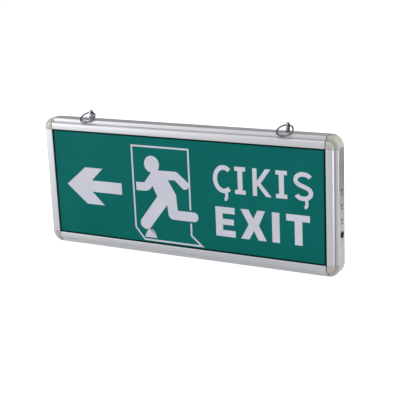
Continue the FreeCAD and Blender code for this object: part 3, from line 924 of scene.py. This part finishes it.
def fuseMaterial():
    # drawn glass tube between two pressed nickel caps: clear in the middle, soft silver at its ends
    material = newMaterial("glassTubeWithNickelCaps")
    low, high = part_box("fuse")
    where = addNode(material, "ShaderNodeTexCoord").outputs["Object"]
    centred = addNode(material, "ShaderNodeMapping", {"Vector": where, "Location": (-middle("fuse").x, 0, 0)})
    parts = addNode(material, "ShaderNodeSeparateXYZ", {0: centred.outputs[0]})
    away = addNode(material, "ShaderNodeMath", {0: parts.outputs["X"]}, operation="ABSOLUTE").outputs[0]
    capStart = (high.x - low.x) / 2 - fuse["capLong"] * mm
    cap = addNode(material, "ShaderNodeMath", {0: away, 1: capStart}, operation="GREATER_THAN").outputs[0]
    glass = addNode(material, "ShaderNodeMath", {0: fuse["clear"], 1: cap}, operation="SUBTRACT",
                    use_clamp=True).outputs[0]
    colour = addNode(material, "ShaderNodeMix", {0: cap, 6: paint(fuse["glass"]), 7: paint(fuse["cap"])},
                     data_type="RGBA").outputs[2]
    inputs = fineGrain(material, size=0.6, rough=0.12, spread=0.04, depth=0.003)
    inputs.update({"Base Color": colour, "Metallic": cap, "Transmission Weight": glass})
    shader = addNode(material, "ShaderNodeBsdfPrincipled", inputs)
    addNode(material, "ShaderNodeOutputMaterial", {"Surface": shader.outputs[0]})
    return material


# nylon, moulded and left undyed: creamy, with a dull waxy sheen
nylon = surface("mouldedNylonNatural", "#E3DFD2", "#DAD6C8", 0.42, patch=5, fine=0.4, depth=0.006, IOR=1.53)
greenBoard = boardMaterial("solderMaskGreenLaminate", "#1E5B36", "#1A5231", "#3C7F4C", 2.2, 0.28)
whiteBoard = boardMaterial("solderMaskWhiteAluminium", "#E9E9E4", "#E2E2DC", "#D2CFC4", 2.7, 0.35)
# silicone, cast with phosphor powder in it: strong yellow, smooth and slightly wet looking
phosphor = surface("siliconeWithYellowPhosphor", "#E9D768", "#E0C94E", 0.3, patch=1.2, fine=0.15,
                   depth=0.004, IOR=1.41)
finishes = {
    # polystyrene sheet, extruded: plain white with a faint satin orange peel
    "back_panel": surface("extrudedPolystyreneWhite", "#E2E2DF", "#DADAD7", 0.45, patch=60, fine=0.9,
                          depth=0.006, IOR=1.55),
    # acrylic, cast, opal: milky white with a soft even gloss
    "front_panel": surface("castAcrylicOpal", "#E6E8EA", "#DEE1E3", 0.3, patch=50, fine=1.2, depth=0.001,
                           IOR=1.49, Subsurface_Weight=0.1, Subsurface_Scale=0.002),
    # acrylic, cast, clear: glassy with a trace of green at its edges
    "light_guide": surface("castAcrylicClear", "#EAF2EE", "#E4EEE9", 0.08, spread=0.03, patch=20, fine=1.5,
                           depth=0.001, IOR=1.49, Transmission_Weight=0.92),
    # polyester film, foamed: flat white with almost no gloss
    "reflector_sheet": surface("microfoamPolyesterWhite", "#F0F0EE", "#E8E8E6", 0.7, patch=12, fine=0.5,
                               depth=0.004, IOR=1.57),
    "led_strip_top": whiteBoard,
    "led_strip_bottom": whiteBoard,
    "leds_top": phosphor,
    "leds_bottom": phosphor,
    "hanger_block_left": cornerAbs,
    "hanger_block_right": cornerAbs,
    "driver_board": greenBoard,
    "indicator_board": greenBoard,
    "board_supports": nylon,
    "battery_straps": nylon,
    "lead_plugs": nylon,
    # ferrite, sintered and ground: charcoal, matt, with a fine sparkle
    "transformer_core": surface("sinteredFerrite", "#3A3A3D", "#2E2E31", 0.55, spread=0.12, patch=1.5,
                                fine=0.2, depth=0.01),
    # polyester tape wound round the coil: amber, glossy, its edges showing as level lines 1.2 mm apart
    "transformer_winding": surface("polyesterTapeAmber", "#D9A62E", "#C48F1F", 0.25, patch=1.2, fine=0.5,
                                   depth=0.02, stretch=(20, 20, 1), IOR=1.57),
    # vinyl sleeve shrunk on an aluminium can: black, wet looking, slightly rippled
    "smoothing_capacitor": surface("shrunkVinylBlack", "#17181B", "#1F2024", 0.22, patch=3, fine=1.1,
                                   depth=0.03, IOR=1.54),
    # epoxy dipped over the film winding: brick red, thick and glossy
    "dropper_capacitor": surface("dippedEpoxyRed", "#7C2A1C", "#6B2217", 0.2, patch=3, fine=1.4,
                                 depth=0.05, IOR=1.55),
    # epoxy, transfer moulded: near black and matt, as a chip's body is
    "charge_chip": surface("mouldedEpoxyBlack", "#222224", "#2A2A2C", 0.6, patch=1.5, fine=0.2,
                           depth=0.006, IOR=1.55),
    "fuse": fuseMaterial(),
    # polyester, moulded: leaf green with a low gloss
    "terminal_block": surface("mouldedPolyesterGreen", "#2F8C4B", "#288043", 0.38, patch=4, fine=0.35,
                              depth=0.008, IOR=1.57),
    # steel can, drawn and nickel plated: bright, with draw lines along the cell
    "battery_cells": surface("nickelPlatedSteelCan", "#C6C4BC", "#B5B3AB", 0.24, patch=3, fine=0.5,
                             depth=0.004, stretch=(20, 1, 1), Metallic=1.0),
    # vinyl tube shrunk over the pack: strong blue, glossy, lightly creased across
    "battery_sleeve": surface("shrunkVinylBlue", "#1C4F9E", "#184489", 0.24, patch=8, fine=1.6, depth=0.04,
                              stretch=(1, 3, 3), IOR=1.54),
    # vinyl, extruded on the wire: red with a dull sheen
    "battery_lead": surface("extrudedVinylRed", "#A81E1C", "#941817", 0.36, patch=3, fine=0.5, depth=0.006,
                            stretch=(6, 1, 1), IOR=1.54),
    "test_switch": blackPlastic,
}
for node, material in finishes.items():
    refinish(node, material)
print("finishes on", len(finishes) + 1, "carried over nodes")


studio = {  # strengths are 1 for white
    "floorSize": 14.0,  # in m
    "floorDrop": 0.2,  # in mm, so that it clears the underside
    "floorColour": "#E6E6E6",
    "floorSeen": 0.7,
    "floorMirrored": 0.28,
    "worldFill": 0.4,
    "cardColour": "#1A1A1A",
}
softBoxes = {  # power in W, size in m, place in m from the middle of the face
    "key": (7.2, (1.0, 0.8), (-0.9, -0.62, 0.12)),
    "side": (7.5, (1.5, 1.2), (1.15, 0.28, 0.24)),
    "top": (2.0, (1.5, 0.45), (-0.05, -0.5, 0.9)),
    "corner": (2.8, (0.6, 0.6), (0.5, -0.56, 0.76)),
    "ridge": (0.25, (0.3, 0.12), (0.45, -0.02, -0.01)),
    "left": (5.0, (0.9, 0.9), (-1.1, 0.15, 0.15)),
}
cards = {  # width and height in m, place in m from the middle of the face
    "back": (1.6, 0.5, (-0.75, 1.25, 0.45)),
    "right": (0.3, 0.07, (0.3, 0.2, -0.02)),
    "front": (0.7, 0.22, (-0.6, -1.0, 0.5)),
}
lens = {  # degrees, and mm from the middle of the face
    "azimuth": 30.91,
    "elevation": 14.88,
    "roll": -2.56,
    "distance": 1112.73,
    "focal": 94.25,
    "sensor": 36,
    "nearest": 10,
    "aim": (17.92, 8.05, -7.13),
}


def makeFloor():  # matte, and white where the camera or a mirror looks at it
    bm = bmesh.new()
    bmesh.ops.create_grid(bm, x_segments=1, y_segments=1, size=studio["floorSize"] / 2)
    put(bm, Matrix.Translation((0, 0, -studio["floorDrop"] * mm)))
    floor = asPiece(bm, "studioFloor", body=None)
    material = newMaterial("paleStudioFloor")
    path = addNode(material, "ShaderNodeLightPath").outputs
    mirrored = addNode(material, "ShaderNodeMath", {0: path["Is Glossy Ray"], 1: path["Is Transmission Ray"]},
                       operation="MAXIMUM").outputs[0]
    dimmed = addNode(material, "ShaderNodeMath", {0: mirrored, 1: studio["floorMirrored"]},
                     operation="MULTIPLY").outputs[0]
    glow = addNode(material, "ShaderNodeMath", {0: path["Is Camera Ray"], 1: studio["floorSeen"], 2: dimmed},
                   operation="MULTIPLY_ADD").outputs[0]
    matte = addNode(material, "ShaderNodeBsdfDiffuse", {"Color": paint(studio["floorColour"])})
    light = addNode(material, "ShaderNodeEmission", {"Color": (1, 1, 1, 1), "Strength": glow})
    both = addNode(material, "ShaderNodeAddShader", {0: matte.outputs[0], 1: light.outputs[0]})
    addNode(material, "ShaderNodeOutputMaterial", {"Surface": both.outputs[0]})
    floor.data.materials.append(material)
    floor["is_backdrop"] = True


def makeWorld():  # white to look at and in mirrors, and a plain fill elsewhere
    world = bpy.data.worlds.new("studio")
    world.use_nodes = True
    world.node_tree.nodes.clear()
    bpy.context.scene.world = world
    path = addNode(world, "ShaderNodeLightPath").outputs
    seen = path["Is Camera Ray"]
    for other in ("Is Glossy Ray", "Is Transmission Ray"):
        seen = addNode(world, "ShaderNodeMath", {0: seen, 1: path[other]}, operation="MAXIMUM").outputs[0]
    fill = addNode(world, "ShaderNodeBackground", {"Color": (1, 1, 1, 1), "Strength": studio["worldFill"]})
    white = addNode(world, "ShaderNodeBackground", {"Color": (1, 1, 1, 1), "Strength": 1.0})
    mixed = addNode(world, "ShaderNodeMixShader", {0: seen, 1: fill.outputs[0], 2: white.outputs[0]})
    addNode(world, "ShaderNodeOutputWorld", {"Surface": mixed.outputs[0]})


def softBox(name, power, size, offset):
    light = bpy.data.lights.new(name, "AREA")
    light.shape = "RECTANGLE"
    light.energy = power
    light.size, light.size_y = size
    holder = bpy.data.objects.new(name, light)
    bpy.context.scene.collection.objects.link(holder)
    holder.location = faceCentre + Vector(offset)
    holder.rotation_euler = (-Vector(offset)).to_track_quat("-Z", "Y").to_euler()


def darkCard(name, wide, high, offset):  # out of sight: gives the bright metal something dark to show
    bm = bmesh.new()
    bmesh.ops.create_grid(bm, x_segments=1, y_segments=1, size=0.5)  # a square of 1 m
    bmesh.ops.scale(bm, verts=bm.verts[:], vec=(wide, high, 1))
    turn = Vector(offset).to_track_quat("Z", "Y").to_matrix().to_4x4()
    put(bm, Matrix.Translation(faceCentre + Vector(offset)) @ turn)
    piece = asPiece(bm, name, body=None)
    material = newMaterial("blackStudioCard")
    matte = addNode(material, "ShaderNodeBsdfDiffuse", {"Color": paint(studio["cardColour"])})
    addNode(material, "ShaderNodeOutputMaterial", {"Surface": matte.outputs[0]})
    piece.data.materials.append(material)
    piece.visible_camera = False
    piece.visible_shadow = False
    piece.visible_diffuse = False
    piece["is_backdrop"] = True


def makeCamera():
    camera = bpy.data.objects.new("camera", bpy.data.cameras.new("camera"))
    bpy.context.scene.collection.objects.link(camera)
    azimuth, elevation = math.radians(lens["azimuth"]), math.radians(lens["elevation"])
    level = math.cos(elevation)
    away = Vector((math.sin(azimuth) * level, -math.cos(azimuth) * level, math.sin(elevation)))
    camera.location = faceCentre + away * lens["distance"] * mm
    aim = faceCentre + Vector(lens["aim"]) * mm
    turn = (aim - camera.location).to_track_quat("-Z", "Y").to_matrix()
    camera.rotation_euler = (turn @ Matrix.Rotation(math.radians(lens["roll"]), 3, "Z")).to_euler()
    camera.data.lens = lens["focal"]
    camera.data.sensor_width = lens["sensor"]
    camera.data.clip_start = lens["nearest"] * mm
    bpy.context.scene.camera = camera


makeFloor()
makeWorld()
for name, (wide, high, offset) in cards.items():
    darkCard(name + "Card", wide, high, offset)
for name, (power, size, offset) in softBoxes.items():
    softBox(name + "Light", power, size, offset)
makeCamera()
bpy.context.scene.view_settings.view_transform = "Standard"
print("studio set")

low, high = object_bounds()
